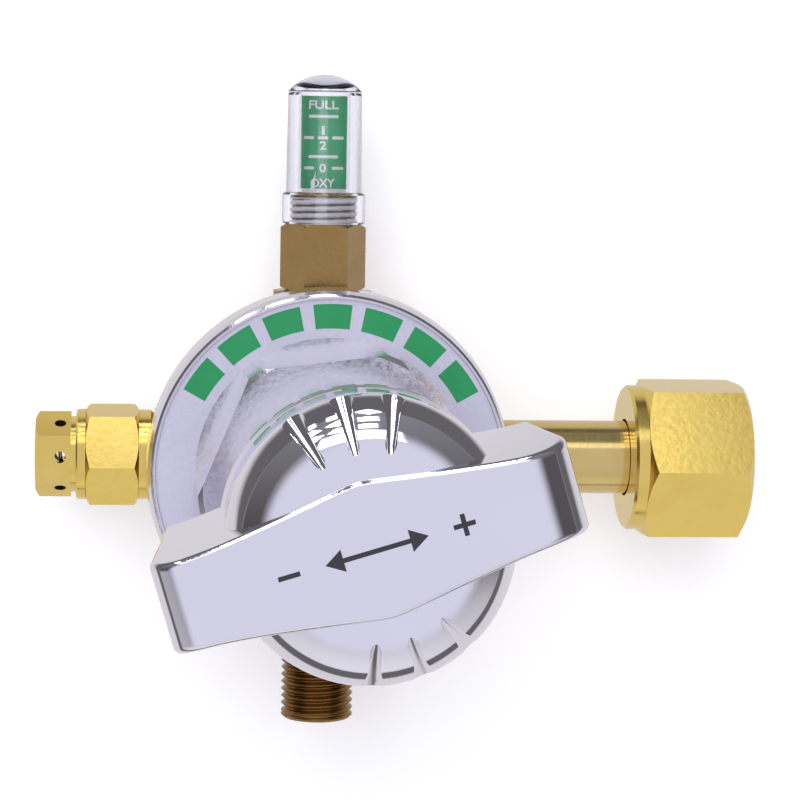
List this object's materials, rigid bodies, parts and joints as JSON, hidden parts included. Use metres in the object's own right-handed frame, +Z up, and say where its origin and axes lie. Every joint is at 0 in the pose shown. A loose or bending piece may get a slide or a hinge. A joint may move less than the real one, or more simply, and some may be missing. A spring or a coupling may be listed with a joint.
{
  "type": "oxygen cylinder pressure regulator",
  "caption": "Gas cylinder regulator for oxygen: chromed bonnet with wing-bar knob, brass inlet nut, relief valve, threaded outlet and clear contents indicator.",
  "frame": {"origin": "on the inlet axis, where the nose of the inlet nipple meets its shoulder", "axes": "+X out of the inlet towards the cylinder valve, +Z up through the contents indicator, -Y forward through bonnet and knob"},
  "size_m": [0.1375, 0.146, 0.1249],
  "materials": {
    "chrome": "polished",
    "bright_brass": "polished",
    "dull_brass": "machined",
    "spring_steel": "drawn",
    "black_rubber": "matte",
    "clear_plastic": "polished clear",
    "white_plastic": "gloss",
    "green_print": "printed",
    "label_film": "printed film",
    "sintered_bronze": "sintered"
  },
  "bodies": {
    "regulator": {"body": "dull_brass", "bonnet": "chrome", "bonnet_label": "label_film", "diaphragm": "black_rubber", "slip_ring": "dull_brass", "adjusting_spring": "spring_steel", "valve_nozzle": "bright_brass", "poppet_spring": "spring_steel", "rear_plug": "bright_brass", "plug_oring": "black_rubber", "inlet_nipple": "bright_brass", "inlet_filter": "sintered_bronze", "relief_body": "bright_brass", "relief_cap": "bright_brass", "relief_spring": "spring_steel", "indicator_housing": "dull_brass", "indicator_guide": "dull_brass", "indicator_spring": "spring_steel", "indicator_lens": "clear_plastic", "indicator_scale": "green_print", "outlet_fitting": "dull_brass"},
    "screw_thrust": {"spring_button": "spring_steel"},
    "knob": {"handle": "chrome", "adjusting_screw": "spring_steel"},
    "coupling_nut": {"inlet_nut": "bright_brass"},
    "main_valve": {"valve_poppet": "dull_brass", "diaphragm_plate": "dull_brass"},
    "relief_disc": {"relief_poppet": "dull_brass"},
    "indicator_plunger": {"indicator_piston": "spring_steel", "indicator_oring": "black_rubber", "indicator_pointer": "white_plastic"}
  },
  "joints": [
    {"name": "screw_advance", "type": "slide", "parent": "regulator", "child": "screw_thrust", "axis": [0, 1, 0], "range_m": [0, 0.0091], "deforming": ["adjusting_spring"]},
    {"name": "knob_turn", "type": "hinge", "parent": "screw_thrust", "child": "knob", "pos_m": [-0.0705, 0, 0], "axis": [0, 1, 0], "range_deg": [0, 1800]},
    {"name": "nut_spin", "type": "hinge", "parent": "regulator", "child": "coupling_nut", "pos_m": [0, 0, 0], "axis": [1, 0, 0], "continuous": true},
    {"name": "valve_lift", "type": "slide", "parent": "regulator", "child": "main_valve", "axis": [0, 1, 0], "range_m": [0, 0.0008], "stiffness_N_per_m": 4000, "springref_m": -0.0015, "deforming": ["diaphragm", "poppet_spring"]},
    {"name": "relief_lift", "type": "slide", "parent": "regulator", "child": "relief_disc", "axis": [-1, 0, 0], "range_m": [0, 0.0012], "stiffness_N_per_m": 3000, "springref_m": -0.002, "deforming": ["relief_spring"]},
    {"name": "indicator_rise", "type": "slide", "parent": "regulator", "child": "indicator_plunger", "axis": [0, 0, 1], "range_m": [0, 0.0125], "stiffness_N_per_m": 300, "springref_m": -0.003, "deforming": ["indicator_spring"]}
  ],
  "couplings": [
    {"joint": "screw_advance", "follows": "knob_turn", "m_per_rad": 0.00028875}
  ]
}
